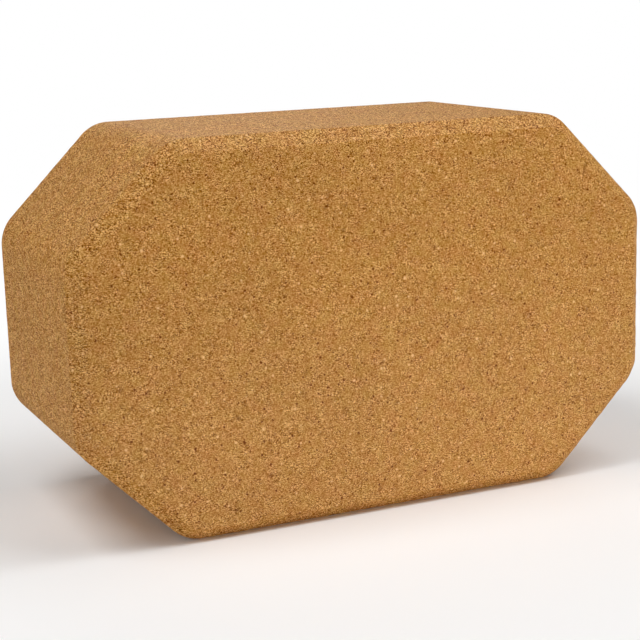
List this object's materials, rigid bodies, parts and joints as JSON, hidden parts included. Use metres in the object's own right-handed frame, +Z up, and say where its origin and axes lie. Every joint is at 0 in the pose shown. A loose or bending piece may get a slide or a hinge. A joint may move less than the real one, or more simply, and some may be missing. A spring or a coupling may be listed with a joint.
{
  "type": "yoga block",
  "caption": "Octagonal cork yoga block: a rigid brick with cut, blunted corners and bevelled face edges, set on its side, on end or flat as a prop of different heights.",
  "frame": {"origin": "middle of the long narrow side that the block stands on", "axes": "+X along the length, +Y through the depth from the front face to the rear face, +Z up"},
  "size_m": [0.228, 0.097, 0.141],
  "materials": {
    "cork": "agglomerated cork, sanded, dry and matte, with coarser open grain on the bevelled edges"
  },
  "bodies": {
    "root": {"cork_block": "cork"}
  },
  "joints": []
}
